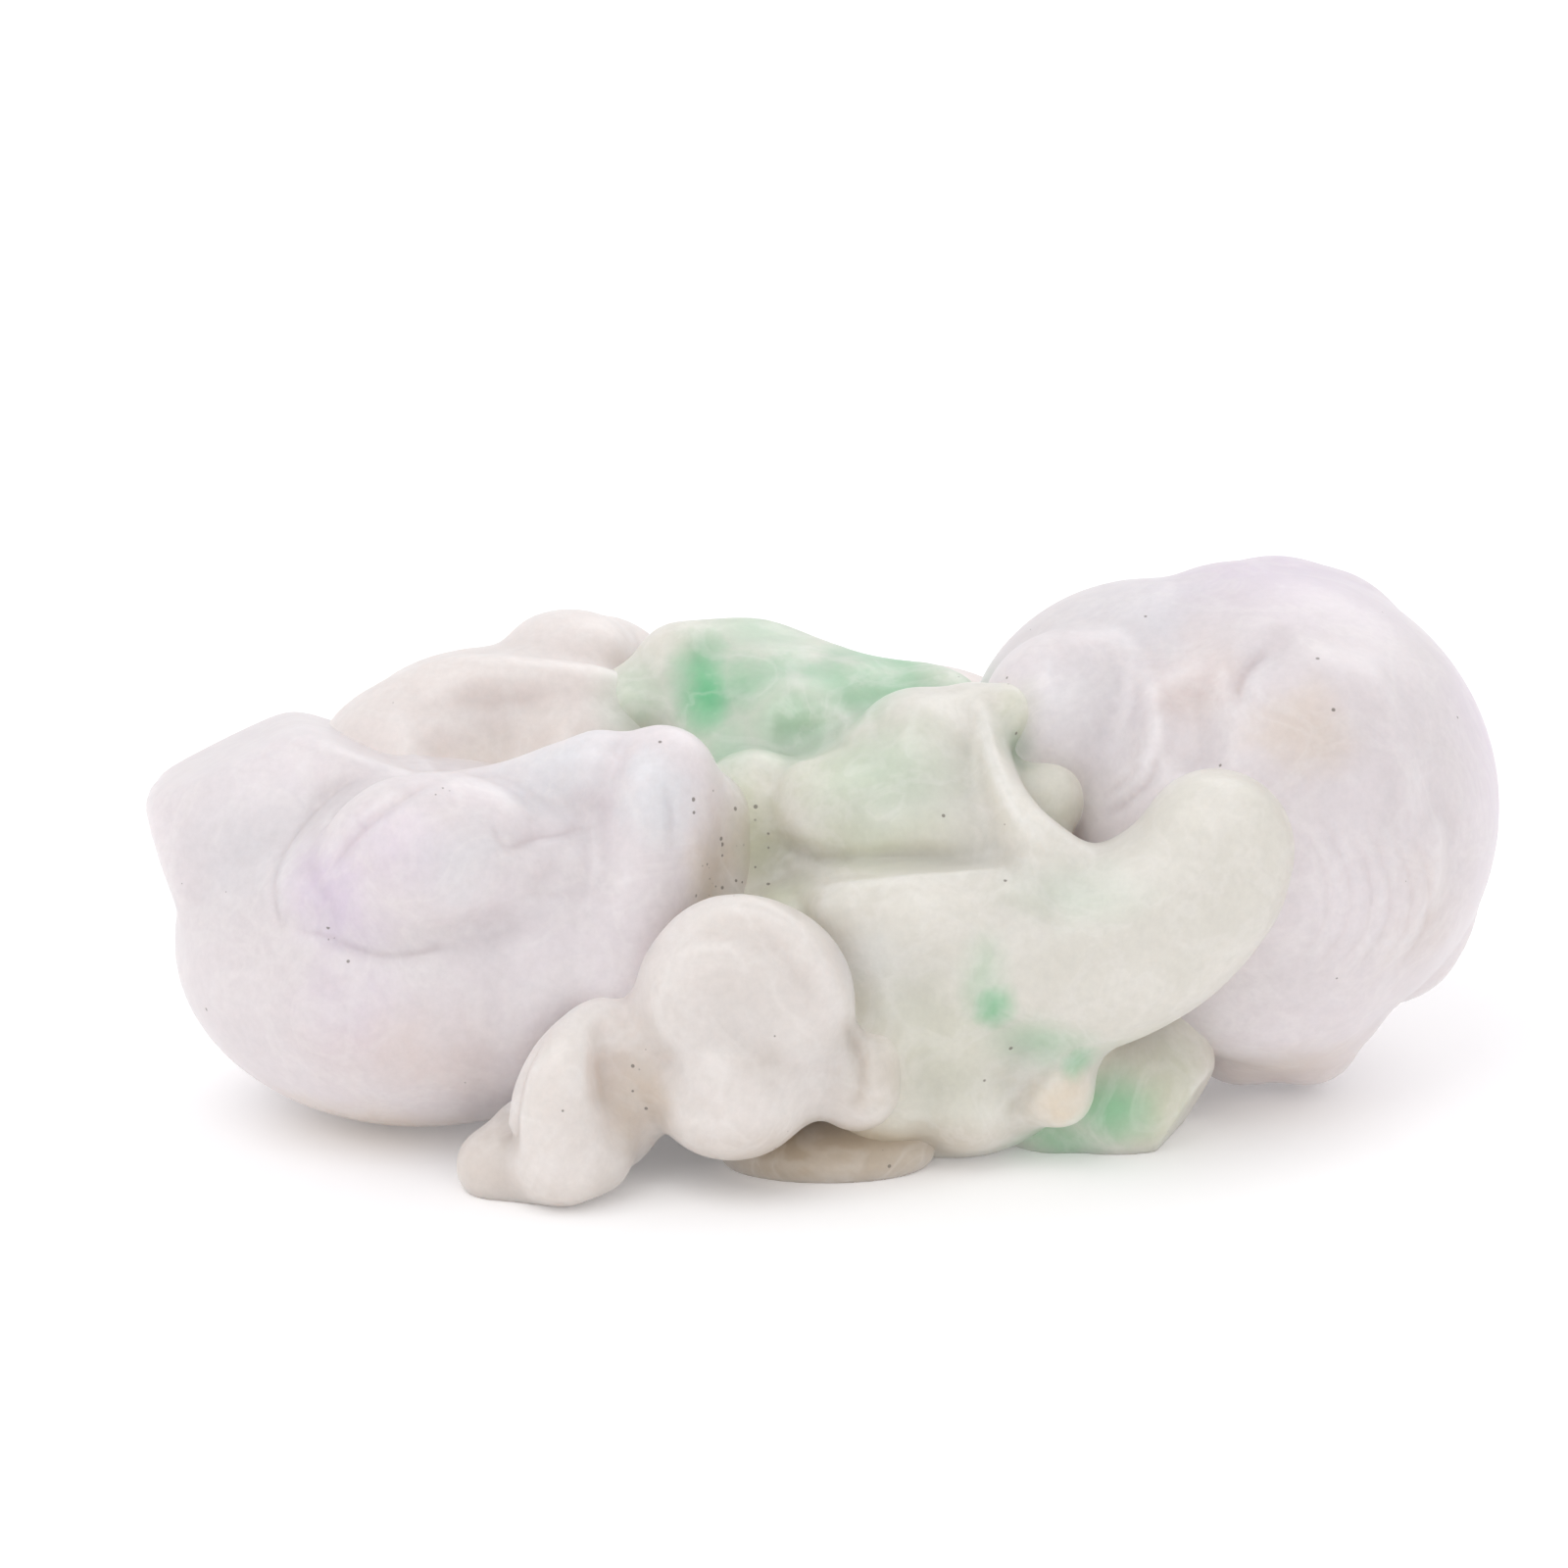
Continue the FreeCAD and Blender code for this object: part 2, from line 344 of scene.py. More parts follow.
# Colour zones of the one stone, with some spots of painted shade: a colour, how far its edges wander, and
# its spots.
# A spot is an element, a place in its block, how far it reaches along X, Y and Z in millimetres, and its
# strength
STONE_ZONES_AND_PAINTED_SHADE = (
    ("#d6c8da", 1.0, (
        ("left_boss", (0.05, 0.38, 0.41), (3.0, 4.0, 3.2), 0.7),
        ("left_boss", (0.34, 0.21, 0.77), (3.5, 3.0, 2.6), 0.4),
        ("left_fruit", (0.39, 0.11, 0.45), (2.6, 4.0, 4.0), 0.4),
        ("right_fruit", (0.94, 0.58, 0.59), (4.0, 9.0, 7.5), 0.8),
        ("right_fruit", (0.52, 0.62, 0.98), (8.5, 8.0, 3.6), 0.6),
    )),
    ("#dbdde0", 1.0, (
        ("left_leaf_rim", (0.79, 0.4, 0.74), (4.0, 3.0, 2.4), 0.7),
        ("left_leaf_ridge", (0.59, 0.35, 0.9), (2.4, 3.0, 3.6), 0.7),
        ("left_boss", (0.67, 0.12, 0.68), (2.6, 3.0, 2.4), 0.4),
        ("left_fruit", (0.18, 0.33, 0.77), (4.5, 5.0, 4.5), 0.25),
        ("right_cheek", (0.39, -0.05, 0.91), (3.6, 3.0, 3.6), 0.35),
        ("right_fruit", (0.22, 0.48, 0.94), (4.5, 5.0, 2.6), 0.4),
        ("broad_leaf", (0.24, 0.09, 0.65), (3.0, 3.0, 2.2), 0.3),
    )),
    ("#ddc9bf", 1.0, (
        ("right_fruit", (0.35, 0.29, 0.8), (2.6, 4.0, 4.0), 0.6),
        ("right_fruit", (0.31, 0.25, 0.55), (3.5, 4.0, 3.0), 0.4),
        ("left_fruit", (0.51, 0.11, 0.33), (6.0, 5.0, 3.0), 0.4),
    )),
    ("#d9c7b0", 1.0, (
        ("rear_leaf", (0.6, 0.14, 0.7), (5.0, 5.0, 2.6), 0.35),
        # Partly the stone's own brown and partly painted shade, on the ridge's right side that faces away
        # from the key lamp
        ("left_leaf_ridge", (0.76, 0.53, 0.54), (2.0, 4.0, 4.4), 0.7),
        # Painted shade: the next two spots make the bottoms of the left fruit and the lower lobe darker
        # and browner
        ("left_fruit", (0.38, 0.28, 0.05), (8.0, 6.0, 2.8), 0.55),
        ("lower_lobe", (0.55, 0.33, 0.06), (6.0, 6.0, 3.0), 0.4),
        ("right_fruit", (0.85, 0.34, 0.58), (2.2, 3.0, 2.8), 0.5),
        ("right_fruit", (0.74, 0.25, 0.45), (3.5, 5.0, 4.5), 0.45),
        ("leaf_drop", (0.49, 0.2, 0.35), (1.9, 2.5, 2.0), 0.6),
        # This spot makes the hollow between the pod and the fungus darker and browner
        ("fungus_chin", (-0.09, 0.54, 0.53), (2.6, 4.0, 3.4), 0.5),
        ("right_swirl", (0.31, 0.06, 0.74), (3.0, 3.0, 2.4), 0.4),
    )),
    # Painted shade: a darker greyish brown towards the bottom of the fungus, the pods and the lower
    # leaf's front
    ("#c6bbb0", 0.8, (
        ("side_pod", (0.22, 0.39, 0.19), (4.0, 4.0, 3.0), 0.6),
        ("fungus_chin", (0.58, 0.37, 0.11), (5.5, 4.0, 2.2), 0.75),
        ("fungus_collar", (0.58, 0.22, 0.3), (2.4, 3.0, 3.0), 0.45),
        ("front_pod", (0.32, 0.41, 0.07), (4.0, 4.0, 1.8), 0.4),
        ("broad_leaf", (0.52, 0.09, 0.1), (5.0, 4.0, 1.8), 0.4),
        ("fungus_disc", (0.58, 0.18, 0.21), (1.6, 2.0, 1.4), 0.35),
    )),
    # Painted shadow: dark brown on the thin leaf edge in the shade under the fungus; the second spot
    # makes the recess left of the knuckle a little darker and browner
    ("#a89474", 0.4, (
        ("under_leaf", (0.46, 0.38, 0.4), (7.0, 6.0, 2.5), 0.8),
        ("saddle_leaf", (-0.04, 0.17, 0.63), (2.6, 5.0, 2.8), 0.25),
    )),
    ("#bdc3a0", 0.6, (
        ("saddle_leaf", (0.26, 0.2, 0.96), (6.0, 4.0, 4.0), 0.25),
        ("saddle_leaf", (0.4, 0.06, 0.72), (5.0, 3.0, 1.8), 0.4),
        ("lower_knob", (0.4, 0.02, 0.68), (2.6, 3.0, 2.6), 0.25),
        ("upper_knob", (0.45, -0.87, 1.29), (1.6, 2.0, 1.6), 0.3),
        ("green_foot", (0.58, 0.15, 0.33), (3.4, 4.0, 3.4), 0.5),
        ("broad_leaf", (0.44, 0.09, 0.4), (5.0, 3.5, 5.5), 0.25),
        ("saddle_leaf", (-0.01, 0.26, 0.68), (2.6, 4.0, 3.2), 0.6),
        ("broad_leaf", (-0.11, 0.31, 0.8), (2.6, 3.0, 1.6), 0.6),
    )),
    ("#2fb873", 0.35, (
        ("green_crest", (0.3, 0.26, 0.75), (2.0, 6.0, 2.8), 0.97),
        ("green_crest", (0.42, 0.38, 0.81), (4.6, 6.0, 1.6), 0.88),
        ("green_crest", (0.68, 0.31, 0.8), (5.6, 6.0, 1.5), 0.82),
        ("green_crest", (0.86, 0.16, 0.8), (3.0, 5.0, 1.3), 0.3),
        ("green_crest", (0.55, 0.36, 0.8), (4.6, 6.0, 1.3), 0.75),
        ("green_crest", (0.41, 0.53, 1.0), (4.4, 4.0, 1.6), 0.3),
        ("green_crest", (0.15, 0.16, 0.69), (2.6, 4.0, 2.4), 0.2),
        ("saddle_leaf", (-0.09, 0.47, 0.86), (2.2, 4.5, 3.4), 0.35),
        ("saddle_leaf", (0.14, 0.5, 0.98), (3.4, 5.0, 2.4), 0.38),
        ("saddle_leaf", (0.46, 0.47, 0.99), (2.5, 4.0, 2.6), 0.45),
        ("saddle_leaf", (0.43, 0.13, 0.96), (4.5, 4.0, 3.2), 0.17),
        ("broad_leaf", (0.64, 0.06, 0.55), (1.2, 2.5, 1.4), 0.7),
        ("broad_leaf", (0.6, 0.06, 0.62), (1.4, 2.5, 2.4), 0.25),
        ("broad_leaf", (0.8, 0.06, 0.43), (2.6, 2.5, 1.9), 0.3),
        ("leaf_drop", (0.68, 0.2, 0.8), (1.1, 2.0, 1.2), 0.5),
        ("leaf_scroll", (0.49, 0.2, 0.64), (4.0, 3.0, 1.6), 0.1),
        ("green_foot", (0.35, 0.08, 0.32), (2.4, 4.0, 2.1), 0.6),
        ("green_foot", (0.1, 0.15, 0.09), (2.8, 4.0, 1.4), 0.45),
        ("lower_knob", (-0.03, 0.33, 1.1), (1.6, 3.0, 2.4), 0.2),
    )),
)

# Spots where dark specks lie thick
SPECKLED = (
    ("saddle_leaf", (-0.06, 0.2, 0.65), (2.2, 4.0, 3.0), 0.3),
    ("left_leaf_ridge", (0.8, 0.49, 0.57), (2.2, 3.0, 2.8), 0.5),
    ("left_leaf_ridge", (0.7, 0.53, 0.72), (2.2, 3.0, 3.0), 0.12),
    ("left_boss", (0.46, 0.29, 1.09), (2.4, 3.0, 1.2), 0.12),
    ("left_boss", (0.0, 0.21, 0.05), (1.6, 3.0, 2.0), 0.1),
    ("fungus_chin", (-0.09, 0.54, 0.66), (1.8, 3.0, 2.6), 0.15),
    ("upper_knob", (0.45, -0.67, 1.22), (1.4, 2.0, 1.2), 0.15),
)


def zone_mask(tree, place, spots):
    """A spot's strength at its middle, fading smoothly to nothing at its limits. Where spots
    overlap, the stronger one counts."""
    mask = None
    for node, at, reach, strength in spots:
        offset = add(tree, "ShaderNodeVectorMath", {"operation": "SUBTRACT"}, {0: place})
        offset.inputs[1].default_value = BLOCKS[node].at(at)
        scaled = add(tree, "ShaderNodeVectorMath", {"operation": "DIVIDE"}, {0: offset.outputs[0]})
        scaled.inputs[1].default_value = reach
        distance = add(tree, "ShaderNodeVectorMath", {"operation": "LENGTH"}, {0: scaled.outputs[0]})
        fade = add(tree, "ShaderNodeMapRange",
                   {"interpolation_type": "SMOOTHSTEP", "From Min": 1.0, "From Max": 0.0,
                    "To Min": 0.0, "To Max": strength}, {"Value": distance.outputs["Value"]})
        if mask is None:
            mask = fade.outputs[0]
        else:
            mask = add(tree, "ShaderNodeMath", {"operation": "MAXIMUM"},
                       {0: mask, 1: fade.outputs[0]}).outputs[0]
    return mask


def tinted(tree, mask, shade, code):
    """The shade, changed to a colour by as much as the mask says."""
    mix = add(tree, "ShaderNodeMix", {"data_type": "RGBA"}, {"Factor": mask, "A": shade})
    mix.inputs["B"].default_value = linear(code)
    return mix.outputs["Result"]


def wandering_place(tree, place):
    """The place, shifted by a millimetre or so, so that the edges of a colour wander."""
    drift = add(tree, "ShaderNodeTexNoise", {"Scale": 0.35, "Detail": 4.0, "Roughness": 0.6},
                {"Vector": place})
    offset = add(tree, "ShaderNodeVectorMath", {"operation": "SUBTRACT"}, {0: drift.outputs["Color"]})
    offset.inputs[1].default_value = (0.5, 0.5, 0.5)
    swing = add(tree, "ShaderNodeVectorMath", {"operation": "SCALE", "Scale": 3.5},
                {0: offset.outputs[0]})
    return add(tree, "ShaderNodeVectorMath", {"operation": "ADD"},
               {0: place, 1: swing.outputs[0]}).outputs[0]


def zoned_with_painted_shade(tree, place, shade):
    """The stone's colour zones, which run on from element to element, and the painted shade among them.
    """
    wandering = wandering_place(tree, place)
    for code, looseness, spots in STONE_ZONES_AND_PAINTED_SHADE:
        loose = add(tree, "ShaderNodeMix", {"data_type": "VECTOR", "Factor": looseness},
                    {"A": place, "B": wandering})
        shade = tinted(tree, zone_mask(tree, loose.outputs["Result"], spots), shade, code)
    return shade


def threaded(tree, place, shade):
    """Milky threads where the crystals felt together."""
    felt = add(tree, "ShaderNodeTexNoise",
               {"Scale": 0.3, "Detail": 4.0, "Roughness": 0.6, "Distortion": 0.8}, {"Vector": place})
    middle = add(tree, "ShaderNodeMath", {"operation": "SUBTRACT", 1: 0.5}, {0: felt.outputs[0]})
    away = add(tree, "ShaderNodeMath", {"operation": "ABSOLUTE"}, {0: middle.outputs[0]})
    thread = add(tree, "ShaderNodeMapRange",
                 {"interpolation_type": "SMOOTHSTEP", "From Min": 0.07, "From Max": 0.0,
                  "To Min": 0.0, "To Max": 0.16}, {"Value": away.outputs[0]})
    return tinted(tree, thread.outputs[0], shade, "#eeebe8")


def specked(tree, place, shade):
    """Tiny dark mineral specks, up to a tenth of a millimetre, thick only at the speckled spots."""
    cells = add(tree, "ShaderNodeTexVoronoi", {"Scale": 4.0, "Randomness": 1.0}, {"Vector": place})
    chance = add(tree, "ShaderNodeSeparateColor", None, {"Color": cells.outputs["Color"]})
    size = add(tree, "ShaderNodeMapRange", {"To Min": 0.3, "To Max": 1.3}, {"Value": chance.outputs[1]})
    spread = add(tree, "ShaderNodeMath", {"operation": "DIVIDE"},
                 {0: cells.outputs["Distance"], 1: size.outputs[0]})
    speck = add(tree, "ShaderNodeMapRange",
                {"interpolation_type": "SMOOTHSTEP", "From Min": 0.34, "From Max": 0.2,
                 "To Min": 0.0, "To Max": 0.75}, {"Value": spread.outputs[0]})
    common = add(tree, "ShaderNodeMath", {"operation": "ADD", 1: 0.003},
                 {0: zone_mask(tree, place, SPECKLED)})
    chosen = add(tree, "ShaderNodeMath", {"operation": "LESS_THAN"},
                 {0: chance.outputs[0], 1: common.outputs[0]})
    dirt = add(tree, "ShaderNodeMath", {"operation": "MULTIPLY"},
               {0: speck.outputs[0], 1: chosen.outputs[0]})
    return tinted(tree, dirt.outputs[0], shade, "#6b6258")


def jadeite(name, ground, cloud, cloud_size):
    """Polished jadeite: a fine-grained translucent stone of interlocked crystals. Light enters
    and comes out softly a millimetre or two away, and the polish has a soft, waxy gloss. The
    colour lies in clouds of cloud_size millimetres, zones and threads, with painted shade in some zones."""
    material = bpy.data.materials.new(name)
    material.use_nodes = True
    tree = material.node_tree
    tree.nodes.clear()
    spot = add(tree, "ShaderNodeTexCoord").outputs["Object"]
    place = add(tree, "ShaderNodeVectorMath", {"operation": "SCALE", "Scale": 1 / MM},
                {0: spot}).outputs[0]
    clouds = add(tree, "ShaderNodeTexNoise",
                 {"Scale": 1 / cloud_size, "Detail": 5.0, "Roughness": 0.55, "Distortion": 0.6},
                 {"Vector": place})
    cloudiness = add(tree, "ShaderNodeMapRange",
                     {"From Min": 0.42, "From Max": 0.68, "To Min": 0.0, "To Max": CLOUD_STRENGTH},
                     {"Value": clouds.outputs[0]})
    colour = add(tree, "ShaderNodeMix", {"data_type": "RGBA"}, {"Factor": cloudiness.outputs[0]})
    colour.inputs["A"].default_value = linear(ground)
    colour.inputs["B"].default_value = linear(cloud)
    shade = threaded(tree, place, zoned_with_painted_shade(tree, place, colour.outputs["Result"]))
    # Sugary crystal grain, about a third of a millimetre
    grain = add(tree, "ShaderNodeTexNoise", {"Scale": 2.6, "Detail": 3.0, "Roughness": 0.7},
                {"Vector": place})
    grain_level = add(tree, "ShaderNodeMapRange",
                      {"From Min": 0.3, "From Max": 0.7, "To Min": 0.955, "To Max": 1.025},
                      {"Value": grain.outputs[0]})
    grained = add(tree, "ShaderNodeVectorMath", {"operation": "SCALE"},
                  {0: shade, "Scale": grain_level.outputs[0]})
    # Polish left by hand: a faint waviness, and a gloss that changes from grain to grain
    wave = add(tree, "ShaderNodeBump", {"Strength": 0.25, "Distance": 0.0002},
               {"Height": clouds.outputs[0]})
    gloss = add(tree, "ShaderNodeMapRange",
                {"From Min": 0.35, "From Max": 0.7, "To Min": 0.3, "To Max": 0.42},
                {"Value": grain.outputs[0]})
    shader = add(tree, "ShaderNodeBsdfPrincipled",
                 {"IOR": 1.66, "Subsurface Weight": 0.85, "Subsurface Scale": 0.0026,
                  "Subsurface Anisotropy": 0.3},
                 {"Base Color": specked(tree, place, grained.outputs[0]),
                  "Roughness": gloss.outputs[0], "Normal": wave.outputs[0]})
    shader.inputs["Subsurface Radius"].default_value = (1.0, 0.9, 0.85)
    # One stone, so where two elements overlap, the skin buried in the other holds no light back
    side = add(tree, "ShaderNodeNewGeometry")
    clear = add(tree, "ShaderNodeBsdfTransparent")
    skin = add(tree, "ShaderNodeMixShader", None,
               {0: side.outputs["Backfacing"], 1: shader.outputs[0], 2: clear.outputs[0]})
    add(tree, "ShaderNodeOutputMaterial", None, {"Surface": skin.outputs[0]})
    return material


STONE = {
    "lavender_jadeite": jadeite("polished_lavender_jadeite", "#dcd5d6", "#e2dbdd", 6.0),
    "white_jadeite": jadeite("polished_white_jadeite", "#dcd6d1", "#e2dcd9", 5.0),
    "green_jadeite": jadeite("polished_green_jadeite", "#d8d5cc", "#dfdcd4", 4.0),
    "warm_jadeite": jadeite("polished_warm_jadeite", "#e2dad6", "#e6dfdc", 5.0),
}
SLOTS = {part["node"]: part["material_slot"] for part in frame["record"]["subparts"]}


def finish(piece, *nodes):
    """Brings a carved piece to its real size, polishes its shading and hangs it on the body."""
    take_up(piece)
    piece.data.transform(Matrix.Scale(MM, 4))
    piece.data.update()
    bpy.ops.object.shade_smooth()
    slot = SLOTS[nodes[0]]
    piece.data.materials.clear()
    piece.data.materials.append(STONE[slot])
    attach(piece, "root")
    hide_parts(*nodes)


# ---------------------------------------------------------------- the left end

def carve_left_fruit():
    """A plump fruit, cornered at its tip, under a leaf whose blade swells over its shoulder and
    whose right side rises to a rounded ridge."""
    shoulder = ball("left_fruit", (0.41, 0.63, 0.54), (0.98, 0.75, 1.04))
    grind(shoulder, "left_fruit", (0.21, 0.68, 0.91), (-0.42, 0.1, 0.9))
    grind(shoulder, "left_fruit", (0.04, 0.56, 0.64), (-0.92, 0, -0.39))
    grind(shoulder, "left_fruit", (0.38, 0.68, 0.89), (0.36, 0.2, 0.9))
    piece = fuse("carved_left_fruit", [
        shoulder,
        ball("left_fruit", (0.5, 0.49, 0.44), (0.89, 0.98, 0.9)),
        ball("left_fruit", (0.71, 0.44, 0.43), (0.62, 0.85, 0.83)),
        ball("left_boss", (0.55, 0.6, 0.52), (1.2, 1.21, 1.16), (0, -8, 0)),
        ball("left_boss", (1.07, 0.74, 0.33), (1.06, 1.04, 1.06)),
        drawn("left_leaf_rim", [(0.47, 0.79, 0.42, 0.31), (0.64, 0.69, 0.5, 0.38),
                                (0.79, 0.62, 0.59, 0.52), (0.91, 0.54, 0.71, 0.57)]),
        drawn("left_leaf_ridge", [(0.59, 0.57, 0.84, 0.35), (0.55, 0.51, 0.66, 0.38),
                                  (0.47, 0.44, 0.51, 0.41), (0.34, 0.38, 0.33, 0.44)]),
        drawn("left_leaf_ridge", [(0.78, 0.66, 0.71, 0.28), (0.8, 0.61, 0.52, 0.25),
                                  (0.72, 0.53, 0.37, 0.28)]),
    ], blend=9)
    # The blade's swelling, the crease under it and the dished facet beside it
    stroke(piece, "left_boss",
           [(0.57, 1.09), (0.32, 1.02), (0.09, 0.84), (-0.08, 0.61), (-0.17, 0.38), (-0.2, 0.18)],
           1.5, -0.3)
    stroke(piece, "left_boss",
           [(-0.2, 0.11), (-0.05, 0.12), (0.09, 0.05), (0.25, -0.01), (0.42, -0.01), (0.56, 0.03),
            (0.68, 0.09), (0.82, 0.14), (1.06, 0.14), (1.29, 0.18)], 1.3, 0.28)
    stroke(piece, "left_boss",
           [(0.63, 1.05), (0.71, 0.99), (0.82, 0.86), (0.93, 0.67), (0.89, 0.44), (0.84, 0.18)],
           1.2, 0.14)
    stroke(piece, "left_leaf_rim", [(0.66, 0.21), (0.74, 0.26), (0.82, 0.29), (0.91, 0.37)], 1.0, 0.16)
    stroke(piece, "left_leaf_rim", [(0.74, 0.09), (0.79, -0.02), (0.79, -0.17)], 2.8, 0.22)
    # The ridge between the facet and the recess, and the groove between the two humps
    stroke(piece, "left_leaf_ridge", [(0.4, 0.87), (0.36, 0.76), (0.32, 0.67), (0.32, 0.49)], 1.0, 0.12)
    stroke(piece, "left_leaf_ridge",
           [(0.46, 0.89), (0.5, 0.79), (0.5, 0.64), (0.46, 0.52), (0.38, 0.4)], 2.0, -0.3)
    stroke(piece, "left_leaf_ridge", [(0.42, 0.95), (0.41, 0.87), (0.38, 0.8)], 0.8, 0.18)
    polish(piece, 10)
    # Crisp lines: the blade's edge, cut in on both sides, and the ridge's two shoulders
    stroke(piece, "left_boss",
           [(0.37, 1.18), (0.14, 1.09), (-0.02, 0.96), (-0.16, 0.78), (-0.25, 0.61), (-0.29, 0.44),
            (-0.26, 0.21), (-0.2, 0.11)], 0.45, 0.2, sharp=True)
    stroke(piece, "left_boss",
           [(0.61, 1.11), (0.44, 1.01), (0.32, 0.92), (0.21, 0.81), (0.09, 0.66), (-0.01, 0.47)],
           0.45, 0.25, sharp=True)
    stroke(piece, "left_boss",
           [(-0.2, 0.12), (-0.05, 0.12), (0.09, 0.05), (0.25, -0.01), (0.42, -0.01), (0.56, 0.03),
            (0.68, 0.09)], 0.4, 0.2, sharp=True)
    stroke(piece, "left_boss",
           [(0.82, 0.86), (0.93, 0.66), (1.08, 0.72), (1.22, 0.75), (1.38, 0.82)], 0.4, 0.2, sharp=True)
    stroke(piece, "left_leaf_ridge", [(0.6, 0.8), (0.63, 0.73), (0.64, 0.6)], 0.5, 0.2, sharp=True)
    stroke(piece, "left_fruit",
           [(0.31, 0.96), (0.41, 0.93), (0.49, 0.86), (0.53, 0.83)], 0.6, -0.2, sharp=True)
    polish(piece, 2)
    stand(piece)
    finish(piece, "left_fruit", "left_boss", "left_leaf_rim", "left_leaf_ridge")


# ---------------------------------------------------------------- the back

def carve_back_foliage():
    """The foliage along the back: a round leaf with a rolled upper edge and a bud behind the left
    fruit, a veined leaf in the middle, a pod to stand on and a stem that holds them together."""
    piece = fuse("carved_back_foliage", [
        ball("rear_leaf", (0.56, 0.38, 0.72), (0.95, 0.96, 0.54)),
        ball("rear_leaf", (0.38, 0.2, 0.61), (0.88, 0.87, 0.69)),
        ball("rear_leaf", (0.75, 0.22, 0.61), (0.74, 0.87, 0.65)),
        drawn("rear_leaf", [(0.23, 0.22, 0.85, 0.21), (0.42, 0.18, 0.92, 0.24),
                            (0.65, 0.18, 0.92, 0.23), (0.89, 0.24, 0.87, 0.23), (1.03, 0.31, 0.8, 0.19)]),
        ball("rear_bud"),
        ball("rear_bud", (0.5, 0.5, 0.2), (0.9, 0.9, 0.9)),
        ball("rear_bud", (0.38, 0.2, 0.9), (0.68, 0.75, 0.37)),
        drawn("rear_stem", [(0.0, 0.1, 0.25, 0.22), (0.12, 0.38, 0.22, 0.36), (0.36, 0.66, 0.25, 0.5),
                            (0.69, 0.72, 0.41, 0.52), (0.88, 0.62, 0.62, 0.42), (1.0, 0.4, 0.85, 0.25)]),
        ball("back_leaf", (0.5, 0.48, 0.5), (1.0, 1.02, 1.0), (0, 15, 0)),
        ball("rear_pod", (0.5, 0.5, 0.49), (1.0, 1.0, 1.02)),
        ball("rear_pod", (0.5, 0.3, 0.8), (0.8, 0.8, 0.7)),
        ball("stone_core", (0.22, 0.77, 0.46), (0.49, 0.5, 0.8)),
        ball("stone_core", (0.58, 0.75, 0.33), (0.58, 0.48, 0.66)),
    ], grain=0.19, blend=7)
    stroke(piece, "rear_leaf", [(0.26, 0.53), (0.43, 0.6), (0.59, 0.63), (0.78, 0.6)], 2.4, 0.5)
    stroke(piece, "rear_leaf", [(0.19, 0.69), (0.37, 0.75), (0.59, 0.76), (0.84, 0.75)], 0.6, 0.12)
    # Hollows on both sides of the stem, then the veins and petal lines
    cord_cut(piece, "rear_stem", [(0.1, 0.7, 0.55), (0.4, 0.9, 0.6), (0.7, 0.95, 0.85)], 0.9, 0.5)
    cord_cut(piece, "rear_stem",
             [(0.1, 0.5, 0.0), (0.4, 0.8, 0.0), (0.75, 0.9, 0.1), (0.95, 0.8, 0.3)], 0.8, 0.4)
    polish(piece, 6)
    cord_cut(piece, "back_leaf", [(0.1, 0.8, 0.75), (0.5, 1.0, 0.55), (0.9, 0.85, 0.3)], 0.6, 0.4)
    for part in (0.3, 0.5, 0.7):
        cord_cut(piece, "back_leaf",
                 [(part, 0.97, 0.62), (part + 0.12, 0.95, 0.8), (part + 0.2, 0.8, 0.95)], 0.45, 0.25)
        cord_cut(piece, "back_leaf",
                 [(part, 0.97, 0.6), (part - 0.05, 0.95, 0.4), (part - 0.12, 0.8, 0.2)], 0.45, 0.25)
    for lean in (0.15, 0.5, 0.85):
        cord_cut(piece, "rear_bud", [(0.5, 0.6, 1.0), (lean, 1.0, 0.6), (lean, 0.9, 0.1)], 0.6, 0.35)
    for part in (0.25, 0.45, 0.65):
        cord_cut(piece, "rear_leaf",
                 [(part, 0.97, 0.72), (part - 0.1, 1.0, 0.5), (part - 0.12, 0.95, 0.2)], 0.6, 0.25)
    cord_cut(piece, "rear_pod", [(0.1, 0.8, 0.7), (0.5, 1.05, 0.45), (0.95, 0.8, 0.3)], 0.6, 0.3)
    polish(piece, 4)
    stand(piece)
    finish(piece, "rear_leaf", "rear_bud", "rear_stem", "back_leaf", "rear_pod")


# ---------------------------------------------------------------- the fungus and pods at the front

